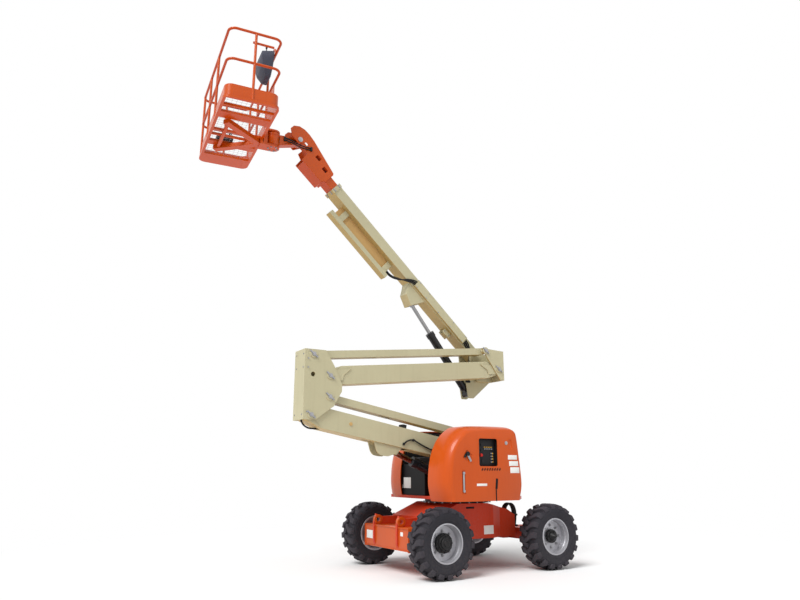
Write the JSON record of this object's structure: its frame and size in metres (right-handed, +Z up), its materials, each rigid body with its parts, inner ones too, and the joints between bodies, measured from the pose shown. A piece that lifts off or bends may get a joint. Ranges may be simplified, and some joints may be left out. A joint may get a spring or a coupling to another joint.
{
  "type": "articulating boom lift",
  "caption": "Self-propelled work platform on a slewing turntable, with a folding parallelogram tower, a telescoping main boom and a railed basket kept level.",
  "frame": {"origin": "on the ground, under the slew axis and midway between the axles", "axes": "+Z up along the slew axis, +X towards the steered axle, +Y to the left of that"},
  "size_m": [5.2043, 2.2446, 6.8372],
  "materials": {
    "deep_red_paint": "satin",
    "bare_steel": "satin",
    "tyre_rubber": "matte",
    "rim_silver": "satin",
    "hub_black": "satin",
    "orange_paint": "gloss",
    "engine_iron": "matte",
    "black_plastic": "matte",
    "tank_black": "satin",
    "cream_paint": "satin",
    "cylinder_black": "satin",
    "rod_chrome": "polished",
    "grey_plastic": "matte",
    "grey_paint": "satin"
  },
  "bodies": {
    "chassis": {"chassis_frame": "deep_red_paint", "rear_axle": "deep_red_paint", "front_axle": "deep_red_paint", "slew_ring": "bare_steel"},
    "rear_near_wheel": {"rear_near_tyre": "tyre_rubber", "rear_near_rim": "rim_silver", "rear_near_hub": "hub_black"},
    "rear_far_wheel": {"rear_far_tyre": "tyre_rubber", "rear_far_rim": "rim_silver", "rear_far_hub": "hub_black"},
    "steer_near_wheel": {"steer_near_tyre": "tyre_rubber", "steer_near_rim": "rim_silver", "steer_near_hub": "hub_black"},
    "steer_far_wheel": {"steer_far_tyre": "tyre_rubber", "steer_far_rim": "rim_silver", "steer_far_hub": "hub_black"},
    "near_knuckle": {"near_knuckle": "hub_black"},
    "far_knuckle": {"far_knuckle": "hub_black"},
    "tie_rod": {"tie_rod": "bare_steel"},
    "turntable": {"turntable_base": "deep_red_paint", "tower_post": "deep_red_paint", "counterweight": "orange_paint", "engine_block": "engine_iron", "hydraulic_tank": "tank_black", "control_box": "black_plastic"},
    "near_hood": {"near_hood": "orange_paint"},
    "far_hood": {"far_hood": "orange_paint"},
    "lower_arm": {"lower_arm": "cream_paint"},
    "lower_link": {"lower_link": "cream_paint"},
    "knee_upright": {"knee_upright": "cream_paint"},
    "upper_arm": {"upper_arm": "cream_paint"},
    "upper_link": {"upper_link": "cream_paint"},
    "boom_upright": {"boom_upright": "cream_paint"},
    "tower_cylinder": {"tower_cylinder": "cylinder_black"},
    "tower_rod": {"tower_rod": "rod_chrome"},
    "lift_cylinder": {"lift_cylinder": "cylinder_black"},
    "lift_rod": {"lift_rod": "rod_chrome"},
    "main_boom": {"main_boom": "cream_paint", "hose_tray": "cream_paint"},
    "fly_boom": {"fly_boom": "orange_paint"},
    "level_bracket": {"level_bracket": "orange_paint", "rotator": "grey_paint"},
    "platform": {"platform_rails": "orange_paint", "platform_floor": "orange_paint", "platform_support": "orange_paint", "control_console": "grey_plastic", "foot_switch": "black_plastic"},
    "gate": {"gate_bar": "orange_paint"}
  },
  "joints": [
    {"name": "slew", "type": "hinge", "parent": "chassis", "child": "turntable", "pos_m": [0, 0, 0.88], "axis": [0, 0, 1], "range_deg": [-177.5, 177.5]},
    {"name": "rear_near_spin", "type": "hinge", "parent": "chassis", "child": "rear_near_wheel", "pos_m": [-0.892, -0.889, 0.425], "axis": [0, 1, 0], "continuous": true},
    {"name": "rear_far_spin", "type": "hinge", "parent": "chassis", "child": "rear_far_wheel", "pos_m": [-0.892, 0.889, 0.425], "axis": [0, 1, 0], "continuous": true},
    {"name": "steer_near", "type": "hinge", "parent": "chassis", "child": "near_knuckle", "pos_m": [0.892, -0.64, 0.425], "axis": [0, 0, 1], "range_deg": [-32, 32]},
    {"name": "steer_far", "type": "hinge", "parent": "chassis", "child": "far_knuckle", "pos_m": [0.892, 0.64, 0.425], "axis": [0, 0, 1], "range_deg": [-32, 32]},
    {"name": "tie_rod_turn", "type": "hinge", "parent": "near_knuckle", "child": "tie_rod", "pos_m": [1.107, -0.64, 0.425], "axis": [0, 0, 1], "range_deg": [-32, 32]},
    {"name": "steer_near_spin", "type": "hinge", "parent": "near_knuckle", "child": "steer_near_wheel", "pos_m": [0.892, -0.889, 0.425], "axis": [0, 1, 0], "continuous": true},
    {"name": "steer_far_spin", "type": "hinge", "parent": "far_knuckle", "child": "steer_far_wheel", "pos_m": [0.892, 0.889, 0.425], "axis": [0, 1, 0], "continuous": true},
    {"name": "near_hood_swing", "type": "hinge", "parent": "turntable", "child": "near_hood", "pos_m": [0.353, -0.634, 1.2], "axis": [0, 0, 1], "range_deg": [0, 75]},
    {"name": "far_hood_swing", "type": "hinge", "parent": "turntable", "child": "far_hood", "pos_m": [0.398, 0.634, 1.2], "axis": [0, 0, -1], "range_deg": [0, 75]},
    {"name": "tower_lift", "type": "hinge", "parent": "turntable", "child": "lower_arm", "pos_m": [0.322, -0.15, 1.455], "axis": [0, 1, 0], "range_deg": [-8, 58]},
    {"name": "lower_link_turn", "type": "hinge", "parent": "turntable", "child": "lower_link", "pos_m": [0.572, -0.15, 1.691], "axis": [0, 1, 0], "range_deg": [-8, 58]},
    {"name": "knee_level", "type": "hinge", "parent": "lower_arm", "child": "knee_upright", "pos_m": [-2.42216, -0.15, 1.95865], "axis": [0, 1, 0], "range_deg": [-58, 8]},
    {"name": "upper_arm_turn", "type": "hinge", "parent": "knee_upright", "child": "upper_arm", "pos_m": [-2.17216, -0.15, 2.46265], "axis": [0, 1, 0], "range_deg": [-58, 8]},
    {"name": "upper_link_turn", "type": "hinge", "parent": "knee_upright", "child": "upper_link", "pos_m": [-2.41216, -0.15, 2.72065], "axis": [0, 1, 0], "range_deg": [-58, 8]},
    {"name": "head_level", "type": "hinge", "parent": "upper_arm", "child": "boom_upright", "pos_m": [0.60204, -0.15, 2.75913], "axis": [0, 1, 0], "range_deg": [-8, 58]},
    {"name": "boom_lift", "type": "hinge", "parent": "boom_upright", "child": "main_boom", "pos_m": [0.56004, 0.15, 2.90912], "axis": [0, 1, 0], "range_deg": [-42, 32]},
    {"name": "fly_extend", "type": "slide", "parent": "main_boom", "child": "fly_boom", "axis": [-0.7401, 0, 0.6725], "range_m": [-0.12, 1.75]},
    {"name": "platform_level", "type": "hinge", "parent": "fly_boom", "child": "level_bracket", "pos_m": [-2.57693, 0.15, 5.8271], "axis": [0, 1, 0], "range_deg": [-32, 42]},
    {"name": "platform_rotate", "type": "hinge", "parent": "level_bracket", "child": "platform", "pos_m": [-2.93693, 0.15, 5.7671], "axis": [0, 0, 1], "range_deg": [-84, 96]},
    {"name": "gate_lift", "type": "hinge", "parent": "platform", "child": "gate", "pos_m": [-3.5404, -0.71264, 6.5831], "axis": [0.1045, 0.9945, 0], "range_deg": [-80, 0]},
    {"name": "tower_cylinder_turn", "type": "hinge", "parent": "turntable", "child": "tower_cylinder", "pos_m": [-0.02, -0.15, 1.06], "axis": [0, 1, 0], "range_deg": [-9, 57]},
    {"name": "tower_rod_slide", "type": "slide", "parent": "tower_cylinder", "child": "tower_rod", "axis": [-0.9228, 0, 0.3852], "range_m": [-0.075, 0.51]},
    {"name": "lift_cylinder_turn", "type": "hinge", "parent": "boom_upright", "child": "lift_cylinder", "pos_m": [0.35004, 0.15, 2.42013], "axis": [0, 1, 0], "range_deg": [-40, 40]},
    {"name": "lift_rod_slide", "type": "slide", "parent": "lift_cylinder", "child": "lift_rod", "axis": [-0.6189, 0, 0.7854], "range_m": [-0.41, 0.32]}
  ],
  "couplings": [
    {"joint": "steer_far", "follows": "steer_near", "ratio": 1},
    {"joint": "tie_rod_turn", "follows": "steer_near", "ratio": -1},
    {"joint": "lower_link_turn", "follows": "tower_lift", "ratio": 1},
    {"joint": "knee_level", "follows": "tower_lift", "ratio": -1},
    {"joint": "upper_arm_turn", "follows": "tower_lift", "ratio": -1},
    {"joint": "upper_link_turn", "follows": "tower_lift", "ratio": -1},
    {"joint": "head_level", "follows": "tower_lift", "ratio": 1},
    {"joint": "tower_cylinder_turn", "follows": "tower_lift", "ratio": 0.97},
    {"joint": "tower_rod_slide", "follows": "tower_lift", "m_per_rad": 0.5},
    {"joint": "lift_cylinder_turn", "follows": "boom_lift", "ratio": 0.865},
    {"joint": "lift_rod_slide", "follows": "boom_lift", "m_per_rad": 0.47},
    {"joint": "platform_level", "follows": "boom_lift", "ratio": -1}
  ]
}
